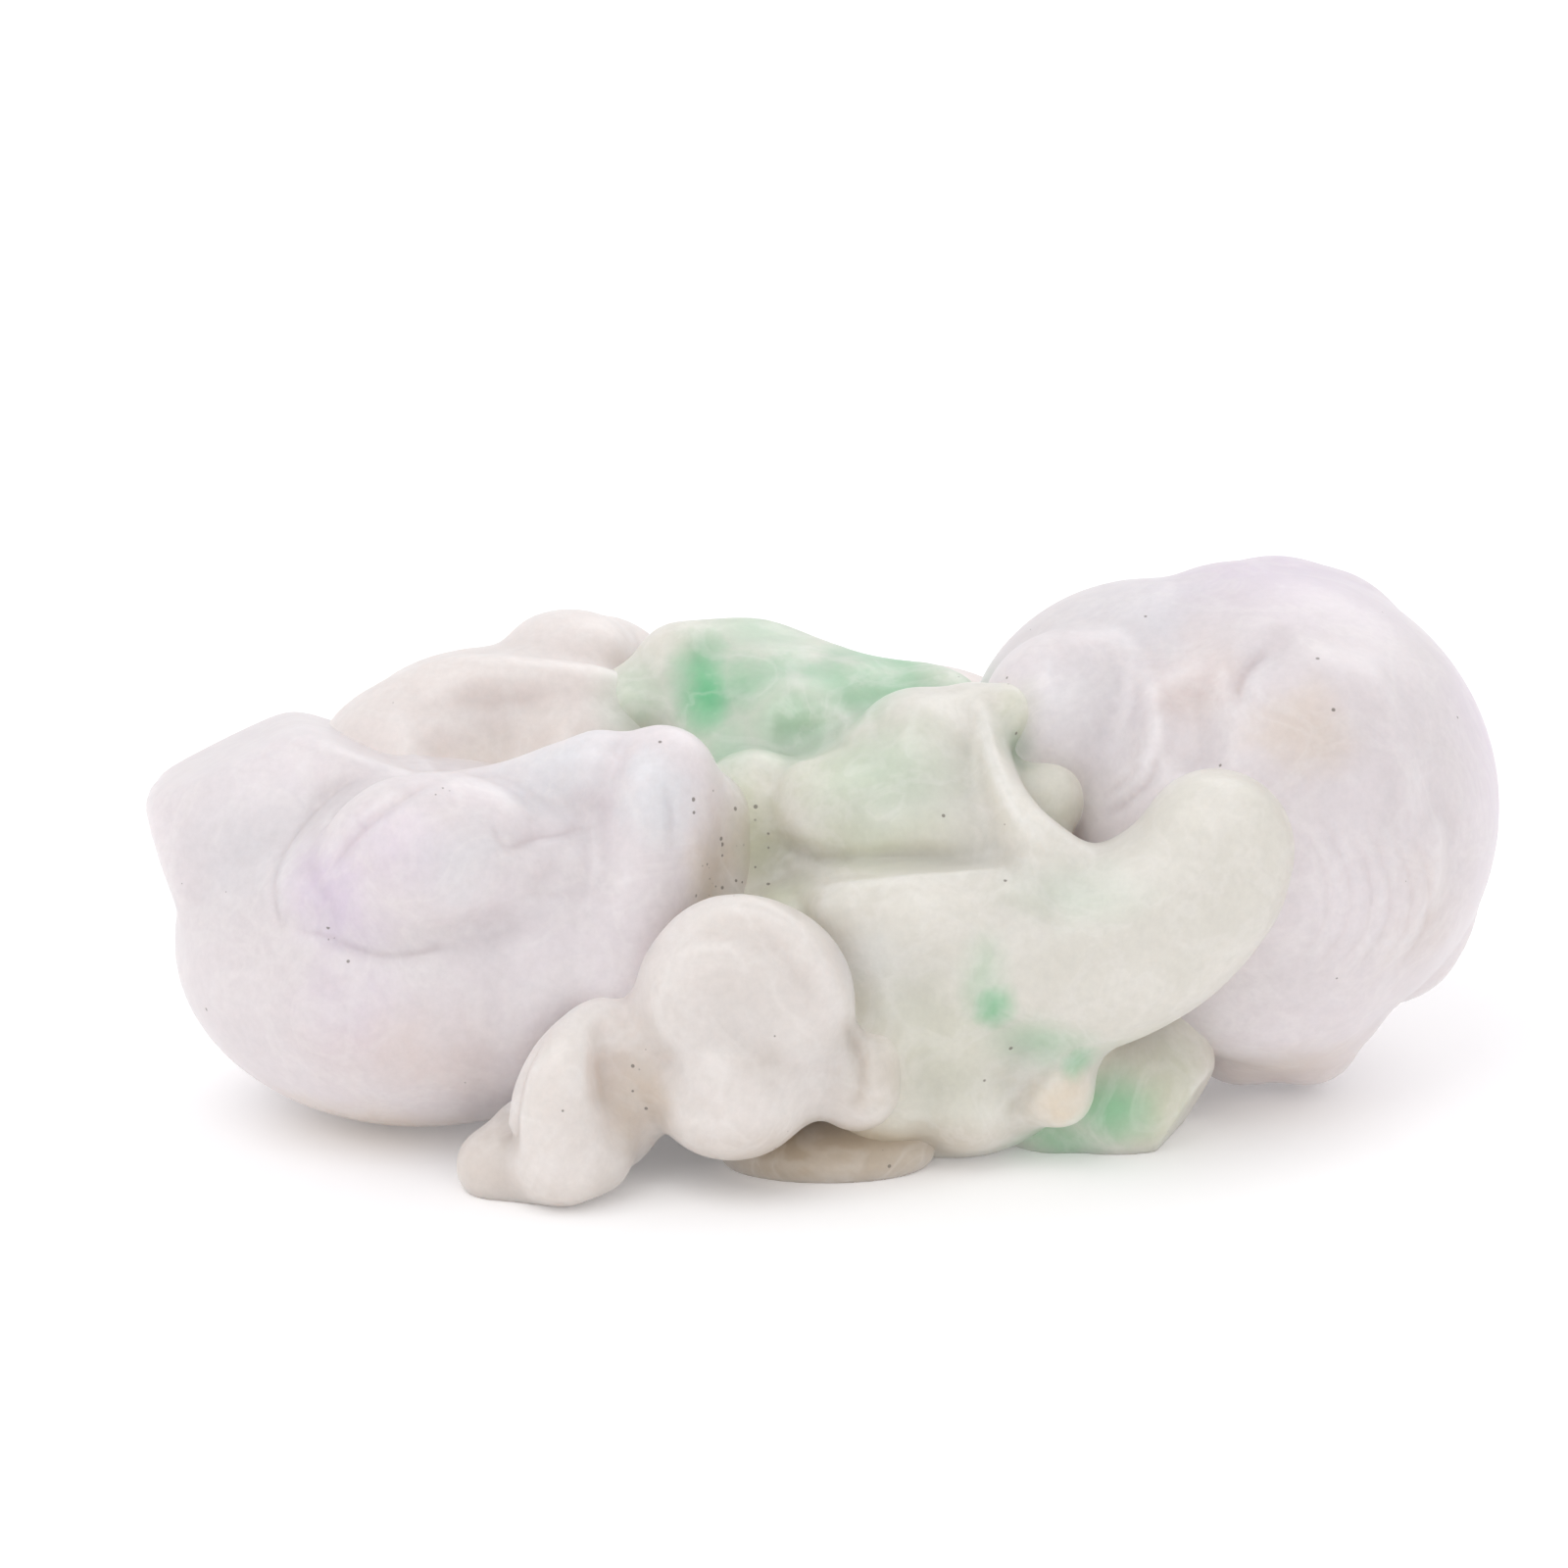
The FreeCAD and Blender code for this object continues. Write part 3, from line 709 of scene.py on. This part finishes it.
def carve_fungus():
    """A domed fungus cap with a soft raised rim, the full lip under it, a curled collar with its
    own bead, and on the stalk's left a standing pod with its small neighbour."""
    cap = ball("fungus_disc", (0.51, 0.52, 0.4), (1.03, 0.94, 0.98))
    grind(cap, "fungus_disc", (0.48, 0.16, 0.47), (-0.1, -1.0, 0.12))
    piece = fuse("carved_fungus", [
        cap,
        ball("fungus_chin", (0.44, 0.49, 0.53), (0.84, 1.0, 1.04)),
        ball("fungus_chin", (0.69, 0.62, 0.63), (0.61, 0.82, 0.91)),
        ball("fungus_collar", (0.44, 0.53, 0.21), (0.92, 0.81, 0.77)),
        ball("fungus_collar", (0.7, 0.47, 0.44), (0.41, 0.35, 0.31)),
        ball("fungus_chin", (-0.03, 0.72, 0.62), (0.58, 0.68, 1.1)),
        drawn("front_pod", [(0.57, 0.91, 0.82, 0.17), (0.45, 0.74, 0.75, 0.26),
                            (0.33, 0.57, 0.63, 0.36), (0.27, 0.53, 0.45, 0.44), (0.3, 0.53, 0.24, 0.51)]),
        ball("front_pod", (0.49, 0.7, 0.21), (0.64, 0.84, 0.43)),
        ball("front_pod", (0.66, 1.05, 0.36), (0.71, 0.75, 0.65)),
        ball("front_pod", (0.09, 0.82, 0.09), (0.71, 0.75, 0.42)),
        ball("side_pod", (0.34, 0.66, 0.24), (0.92, 0.9, 0.84)),
        ball("side_pod", (0.61, 0.79, 0.47), (0.79, 0.75, 0.92)),
    ], grain=0.16, soften=10, blend=5)
    stroke(piece, "fungus_disc",
           [(0.04, 0.65), (0.14, 0.77), (0.31, 0.85), (0.49, 0.85), (0.64, 0.8), (0.78, 0.68),
            (0.88, 0.52), (0.94, 0.36), (0.97, 0.23)], 0.9, -0.3)
    stroke(piece, "fungus_disc",
           [(0.19, 0.67), (0.33, 0.75), (0.48, 0.75), (0.6, 0.69), (0.71, 0.59), (0.8, 0.46),
            (0.84, 0.31)], 1.2, 0.25)
    stroke(piece, "fungus_disc", [(0.06, 0.23), (0.15, 0.08), (0.29, -0.05), (0.46, -0.12)], 1.2, 0.25)
    stroke(piece, "fungus_collar",
           [(0.31, 0.69), (0.42, 0.53), (0.49, 0.39), (0.5, 0.23), (0.43, 0.06), (0.28, -0.06)],
           0.6, 0.25)
    stroke(piece, "fungus_chin", [(-0.2, 1.02), (-0.11, 0.74), (0.0, 0.45), (0.06, 0.21)], 1.2, 0.3)
    stroke(piece, "front_pod", [(0.6, 0.89), (0.57, 0.75), (0.56, 0.58), (0.61, 0.42)], 0.7, 0.3)
    polish(piece, 8)
    stroke(piece, "front_pod",
           [(0.23, 0.85), (0.02, 0.68), (-0.06, 0.51), (-0.08, 0.35), (-0.04, 0.17)], 0.6, 0.4)
    stroke(piece, "fungus_collar",
           [(0.31, 0.69), (0.42, 0.53), (0.49, 0.39), (0.5, 0.23), (0.43, 0.06)],
           0.35, 0.12, sharp=True)
    polish(piece, 2)
    stand(piece)
    finish(piece, "fungus_disc", "fungus_chin", "fungus_collar", "front_pod", "side_pod")


def carve_under_leaf():
    """The thin edge of a leaf lying flat under the fungus."""
    piece = fuse("carved_under_leaf", [
        ball("under_leaf", (0.45, 0.64, 0.25), (1.05, 0.8, 1.21)),
        ball("under_leaf", (0.52, 0.74, 0.33), (0.8, 0.73, 1.42)),
    ], grain=0.15, blend=3)
    stand(piece)
    finish(piece, "under_leaf")


# ---------------------------------------------------------------- the leaves in the middle

def carve_leaves():
    """Two leaves that run into each other. The upper one rolls up behind into a crest and ends in
    a knuckle; a thin rib parts it from two beads and runs down into the lower one, whose steep
    front stands on a foot and sweeps up to the right in a full comma."""
    wall = ball("broad_leaf", (0.5, 0.55, 0.5), (1.14, 1.23, 1.09))
    grind(wall, "broad_leaf", (0.37, 0.08, 0.65), (-0.03, -1.0, -0.20))
    grind(wall, "broad_leaf", (0.37, 0.2, 0.89), (0.02, -0.1, 1.0))
    upper = [
        drawn("green_crest", [(0.24, 0.44, 0.81, 0.7), (0.32, 0.53, 0.77, 0.73),
                              (0.42, 0.59, 0.75, 0.72), (0.55, 0.5, 0.66, 0.68),
                              (0.69, 0.38, 0.63, 0.58), (0.81, 0.23, 0.69, 0.53),
                              (0.87, 0.11, 0.71, 0.47)]),
        ball("green_crest", (0.15, 0.33, 0.62), (0.23, 0.49, 0.56)),
        ball("green_crest", (0.3, 0.31, 0.52), (0.27, 0.58, 0.75)),
        ball("green_crest", (0.42, 0.36, 0.69), (0.48, 0.63, 0.72)),
        ball("green_crest", (0.64, 0.23, 0.66), (0.41, 0.58, 0.64)),
        drawn("saddle_leaf", [(-0.18, 0.7, 0.87, 0.38), (-0.07, 0.57, 0.78, 0.42),
                              (0.0, 0.44, 0.65, 0.42), (0.03, 0.33, 0.55, 0.35)]),
        ball("saddle_leaf", (0.0, 0.67, 0.79), (0.4, 0.41, 0.42)),
        ball("saddle_leaf", (0.14, 0.63, 0.94), (0.47, 0.36, 0.38)),
        ball("saddle_leaf", (0.0, 0.33, 0.6), (0.49, 0.33, 0.71)),
        ball("saddle_leaf", (-0.06, 0.29, 0.43), (0.51, 0.33, 0.58)),
        ball("saddle_leaf", (0.54, 0.35, 0.6), (1.02, 0.67, 0.83)),
        ball("saddle_leaf", (0.51, 0.63, 0.65), (1.09, 0.71, 0.79)),
        drawn("middle_knuckle", [(0.33, 0.76, 0.62, 0.75), (0.61, 0.7, 0.68, 0.79),
                                 (0.94, 0.72, 0.68, 0.79), (1.14, 0.84, 0.71, 0.75)]),
        ball("middle_knuckle", (0.35, 0.68, 0.46), (0.75, 0.79, 0.62)),
        ball("middle_knuckle", (0.88, 0.55, 0.5), (1.14, 0.83, 0.62)),
        ball("saddle_leaf", (0.57, 0.36, 0.91), (0.51, 0.47, 0.54)),
        ball("saddle_leaf", (0.69, 0.4, 1.01), (0.24, 0.27, 0.33)),
        ball("upper_knob", (0.43, -0.48, 1.16), (0.8, 1.08, 0.96)),
        ball("upper_knob", (0.17, -0.33, 1.04), (0.67, 1.08, 0.92)),
        ball("lower_knob", (0.45, 0.2, 0.69), (0.83, 1.0, 0.8)),
        ball("lower_knob", (0.17, 0.33, 0.6), (0.72, 1.0, 0.8)),
        ball("lower_knob", (0.21, 1.02, 0.79), (0.89, 1.13, 1.1)),
    ]
    lower = [
        wall,
        drawn("broad_leaf", [(-0.18, 0.52, 0.65, 0.16), (-0.04, 0.44, 0.71, 0.19),
                             (0.11, 0.33, 0.76, 0.18)]),
        drawn("broad_leaf", [(0.15, 0.23, 0.78, 0.15), (0.35, 0.2, 0.8, 0.16), (0.59, 0.21, 0.81, 0.17),
                             (0.79, 0.24, 0.82, 0.2)]),
        ball("broad_leaf", (0.52, 0.36, 0.44), (0.53, 0.7, 0.53)),
        ball("broad_leaf", (0.29, 0.31, 0.39), (0.46, 0.61, 0.5)),
        ball("broad_leaf", (0.28, 0.28, 0.22), (0.43, 0.55, 0.31)),
        ball("broad_leaf", (0.56, 0.33, 0.19), (0.41, 0.59, 0.33)),
        ball("broad_leaf", (0.38, 0.37, 0.25), (0.41, 0.57, 0.36)),
        drawn("leaf_scroll", [(0.29, 0.47, 0.42, 0.53), (0.49, 0.43, 0.38, 0.58),
                              (0.65, 0.45, 0.48, 0.58), (0.76, 0.49, 0.61, 0.53),
                              (0.8, 0.52, 0.71, 0.49)]),
        drawn("leaf_scroll", [(0.27, 1.15, 1.05, 0.11), (0.3, 0.96, 0.98, 0.13),
                              (0.31, 0.79, 0.91, 0.14), (0.34, 0.62, 0.84, 0.15),
                              (0.39, 0.51, 0.76, 0.17), (0.47, 0.46, 0.67, 0.19)]),
        ball("leaf_drop", (0.49, 0.58, 0.43), (0.91, 1.0, 0.8)),
        ball("leaf_drop", (0.42, 0.77, 0.75), (1.19, 1.13, 0.75)),
    ]
    piece = fuse("carved_leaves", upper + lower, grain=0.19, blend=6)
    polish(piece, 10)
    # The upper leaf: the crest's fold, the lip between the pockets, the knuckle's end and the rib
    stroke(piece, "green_crest",
           [(0.2, 0.8), (0.29, 0.82), (0.44, 0.77), (0.59, 0.72), (0.74, 0.71), (0.88, 0.64)], 0.9, 0.1)
    stroke(piece, "saddle_leaf", [(0.06, 0.92), (0.14, 0.92), (0.24, 0.9)], 1.1, 0.2)
    stroke(piece, "saddle_leaf", [(0.39, 0.95), (0.46, 0.95), (0.53, 0.93)], 1.1, 0.2)
    stroke(piece, "saddle_leaf",
           [(0.1, 0.9), (0.16, 0.97), (0.26, 0.96), (0.33, 0.9), (0.35, 0.81)], 0.6, -0.15)
    stroke(piece, "middle_knuckle", [(0.21, 1.02), (0.1, 0.9), (0.03, 0.71), (0.0, 0.51)], 0.6, -0.2)
    stroke(piece, "leaf_scroll",
           [(0.26, 1.21), (0.29, 1.1), (0.31, 0.99), (0.34, 0.88), (0.39, 0.78), (0.46, 0.7)],
           0.5, -0.3)
    stroke(piece, "saddle_leaf", [(0.7, 0.92), (0.74, 0.78), (0.78, 0.65), (0.85, 0.51)], 0.9, 0.2)
    # The crease over the shelf, the shelf's crisp edge and the small curl at its left end
    stroke(piece, "saddle_leaf",
           [(0.03, 0.43), (0.08, 0.48), (0.2, 0.43), (0.37, 0.43), (0.55, 0.44), (0.74, 0.43),
            (0.88, 0.43)], 0.6, 0.3)
    stroke(piece, "broad_leaf",
           [(0.07, 0.78), (0.16, 0.78), (0.38, 0.8), (0.56, 0.81), (0.75, 0.84)], 0.6, -0.3, sharp=True)
    stroke(piece, "broad_leaf", [(0.07, 0.8), (0.08, 0.74), (0.04, 0.67)], 0.5, -0.15)
    stroke(piece, "broad_leaf", [(-0.03, 0.8), (0.0, 0.72), (0.03, 0.66)], 0.6, 0.2)
    # The valley beside the fungus
    stroke(piece, "broad_leaf", [(0.08, 0.64), (0.16, 0.51), (0.24, 0.39), (0.34, 0.31)], 1.4, 0.3)
    # The line where the front turns into the tip, and the bead's outline
    stroke(piece, "leaf_scroll", [(0.4, 0.7), (0.42, 0.62), (0.44, 0.54), (0.43, 0.42)], 0.8, 0.1)
    stroke(piece, "leaf_drop", [(-0.04, 0.15), (0.07, 0.37), (0.28, 0.56), (0.65, 0.66)], 0.5, 0.3)
    stroke(piece, "leaf_drop", [(0.65, 0.66), (0.89, 0.63), (1.05, 0.51)], 0.6, 0.12)
    stroke(piece, "leaf_scroll",
           [(0.49, 0.67), (0.59, 0.67), (0.67, 0.77), (0.74, 0.91), (0.8, 0.94)], 1.1, -0.15)
    polish(piece, 5)
    stroke(piece, "middle_knuckle",
           [(-0.04, 0.34), (0.21, 0.24), (0.55, 0.25), (0.88, 0.26), (1.25, 0.25)],
           0.35, 0.2, sharp=True)
    polish(piece, 1)
    stand(piece)
    finish(piece, "saddle_leaf", "green_crest", "middle_knuckle", "broad_leaf", "leaf_scroll",
           "leaf_drop", "upper_knob", "lower_knob")


def carve_green_foot():
    """The foot behind the bead, with a ground flat at its right."""
    piece = fuse("carved_green_foot", [
        ball("green_foot", (0.38, 0.45, 0.27), (1.0, 0.94, 0.92)),
        ball("green_foot", (0.09, 0.45, 0.06), (0.56, 0.76, 0.51)),
        ball("green_foot", (0.57, 0.54, 0.42), (0.62, 0.71, 0.83)),
    ], grain=0.17, blend=4)
    grind(piece, "green_foot", (0.79, 0.45, 0.24), (0.8, -0.3, -0.45))
    polish(piece, 8)
    stand(piece)
    finish(piece, "green_foot")


# ---------------------------------------------------------------- the right end

def carve_right_fruit():
    """The largest fruit. A dished petal and a round swelling lie on its front, parted by a broad
    channel, fine lines follow its right side down to a small foot, and the thin raised edge of a
    leaf runs up its far right."""
    piece = fuse("carved_right_fruit", [
        ball("right_fruit", (0.5, 0.5, 0.51), (1.0, 1.0, 1.02)),
        ball("right_crown", (0.49, 0.5, 0.5), (1.04, 1.0, 0.98), (0, -20, 0)),
        ball("right_fruit", (0.45, 0.58, 0.75), (0.58, 0.47, 0.54)),
        ball("right_fruit", (0.28, 0.53, 0.73), (0.53, 0.4, 0.54)),
        ball("right_fruit", (0.61, 0.67, 0.72), (0.48, 0.43, 0.52)),
        ball("right_fruit", (0.53, 0.65, 0.75), (0.49, 0.43, 0.52)),
        ball("right_cheek", (0.42, 0.31, 0.7), (0.97, 0.89, 0.9)),
        ball("right_swirl", (0.41, 0.53, 0.53), (0.9, 0.94, 0.93)),
        ball("lower_lobe", (0.51, 0.45, 0.53), (0.97, 1.0, 0.95)),
        ball("lower_lobe", (0.58, 0.54, 0.27), (0.7, 0.75, 0.58)),
        ball("right_foot", (0.44, 0.44, 0.55), (0.74, 0.89, 1.0)),
        ball("right_foot", (0.82, 0.44, 0.55), (0.71, 0.89, 1.0)),
        drawn("right_flap", [(-0.01, 0.15, 0.02, 0.12), (0.29, 0.15, 0.17, 0.21),
                             (0.51, 0.23, 0.41, 0.24), (0.62, 0.32, 0.63, 0.21),
                             (0.68, 0.41, 0.82, 0.12)]),
    ], blend=8)
    # The channel between petal and swelling
    stroke(piece, "right_fruit", [(0.31, 0.78), (0.34, 0.72), (0.35, 0.64), (0.33, 0.54)], 1.9, 0.55)
    polish(piece, 8)
    # The petal's raised edge and dished middle, and the folds below it
    stroke(piece, "right_cheek",
           [(0.25, 1.08), (0.54, 1.06), (0.71, 0.98), (0.83, 0.83), (0.88, 0.65), (0.84, 0.47),
            (0.74, 0.35), (0.58, 0.24)], 0.8, -0.18)
    stroke(piece, "right_cheek", [(0.29, 0.92), (0.54, 0.88), (0.69, 0.65), (0.59, 0.43)], 1.8, 0.18)
    # The swelling's outline, curling from a notch
    stroke(piece, "right_swirl",
           [(0.05, 0.7), (0.06, 0.82), (0.12, 0.91), (0.23, 0.99), (0.34, 1.02)], 0.9, 0.2)
    stroke(piece, "right_fruit",
           [(0.69, 0.84), (0.74, 0.76), (0.78, 0.66), (0.81, 0.55), (0.83, 0.44)], 0.9, -0.2)
    stroke(piece, "right_fruit", [(0.84, 0.56), (0.86, 0.51), (0.88, 0.45)], 1.1, 0.12)
    # The rim round the right side, parted from the fruit by a groove
    stroke(piece, "right_fruit",
           [(0.84, 0.54), (0.9, 0.46), (0.91, 0.38), (0.9, 0.3), (0.84, 0.2), (0.76, 0.08)], 0.8, 0.3)
    stroke(piece, "right_foot", [(0.29, 0.66), (0.58, 0.72), (0.87, 0.68), (1.1, 0.66)], 1.0, 0.15)
    polish(piece, 4)
    stroke(piece, "right_cheek",
           [(0.59, 0.17), (0.74, 0.27), (0.85, 0.37), (0.9, 0.49)], 0.4, 0.2, sharp=True)
    stroke(piece, "right_cheek", [(0.57, 0.27), (0.7, 0.35), (0.79, 0.45)], 0.4, 0.12, sharp=True)
    stroke(piece, "right_swirl",
           [(0.05, 0.72), (0.06, 0.82), (0.12, 0.91), (0.21, 0.98)], 0.4, 0.25, sharp=True)
    # Fine lines follow the side down
    side_line = [(0.8, 0.46), (0.85, 0.33), (0.84, 0.22), (0.76, 0.11)]
    for inset in (0.0, 0.04, 0.085, 0.125, 0.17, 0.22):
        inner_line = [(across - inset, up) for across, up in side_line]
        stroke(piece, "right_fruit", inner_line, 0.3, 0.09, sharp=True)
    polish(piece, 1)
    stand(piece)
    finish(piece, "right_fruit", "right_crown", "right_cheek", "right_swirl", "lower_lobe",
           "right_foot", "right_flap")


# ---------------------------------------------------------------- the stone in the middle

def carve_stone_core():
    """The stone left between the elements, seen only at the bottom of the recesses."""
    piece = fuse("carved_stone_core", [
        ball("stone_core", (0.5, 0.52, 0.4), (1.0, 0.86, 0.8)),
        ball("stone_core", (0.3, 0.55, 0.3), (0.6, 0.8, 0.6)),
    ], blend=6)
    stand(piece)
    finish(piece, "stone_core")


CARVING = (
    carve_left_fruit, carve_back_foliage, carve_fungus, carve_under_leaf, carve_leaves,
    carve_green_foot, carve_right_fruit, carve_stone_core,
)
for carve in CARVING:
    carve()


# ---------------------------------------------------------------- the room

# The lamps, in metres and watts: name, place, power
LAMPS = (
    ("key", (-0.25, -0.25, 0.55), 0.95),
    ("back", (0.25, 0.45, 0.45), 0.8),
)
LAMP_SIZE = 0.5
LAMP_TARGET = Vector((0, 0, 0.01))


def make_floor():
    """A plain pale floor that glows a little, as if lit from all round."""
    clear_selection()
    bpy.ops.mesh.primitive_grid_add(x_subdivisions=8, y_subdivisions=8, size=4.0, location=(0, 0, 0))
    floor = bpy.context.object
    floor.name = "floor"
    material = bpy.data.materials.new("pale_matt_floor")
    material.use_nodes = True
    shader = material.node_tree.nodes["Principled BSDF"]
    shader.inputs["Base Color"].default_value = linear("#fbfafa")
    shader.inputs["Roughness"].default_value = 0.9
    shader.inputs["Specular IOR Level"].default_value = 0.1
    shader.inputs["Emission Color"].default_value = linear("#ffffff")
    shader.inputs["Emission Strength"].default_value = 0.12
    floor.data.materials.append(material)


def make_lights():
    """Soft light from all round, a large lamp over the show side and a weaker one behind."""
    world = bpy.data.worlds.new("soft_room")
    bpy.context.scene.world = world
    world.use_nodes = True
    background = world.node_tree.nodes["Background"]
    background.inputs["Color"].default_value = linear("#fdfdff")
    background.inputs["Strength"].default_value = 0.86
    for name, place, power in LAMPS:
        lamp = bpy.data.lights.new(name, "AREA")
        lamp.energy = power
        lamp.size = LAMP_SIZE
        holder = bpy.data.objects.new(name, lamp)
        holder.location = place
        aim = LAMP_TARGET - Vector(place)
        holder.rotation_euler = aim.to_track_quat("-Z", "Y").to_euler()
        bpy.context.scene.collection.objects.link(holder)


def make_camera():
    """The eye at its place, with a lens that takes in the view's width at the target."""
    lens = bpy.data.cameras.new("camera")
    lens.sensor_width = FILM_WIDTH
    lens.lens = FILM_WIDTH * VIEW_DISTANCE / VIEW_WIDTH
    lens.clip_start = 0.01
    camera = bpy.data.objects.new("camera", lens)
    camera.location = EYE * MM
    camera.rotation_euler = SIGHT.to_track_quat("-Z", "Y").to_euler()
    bpy.context.scene.collection.objects.link(camera)
    bpy.context.scene.camera = camera


make_floor()
make_lights()
make_camera()
bpy.context.scene.view_settings.view_transform = "Standard"
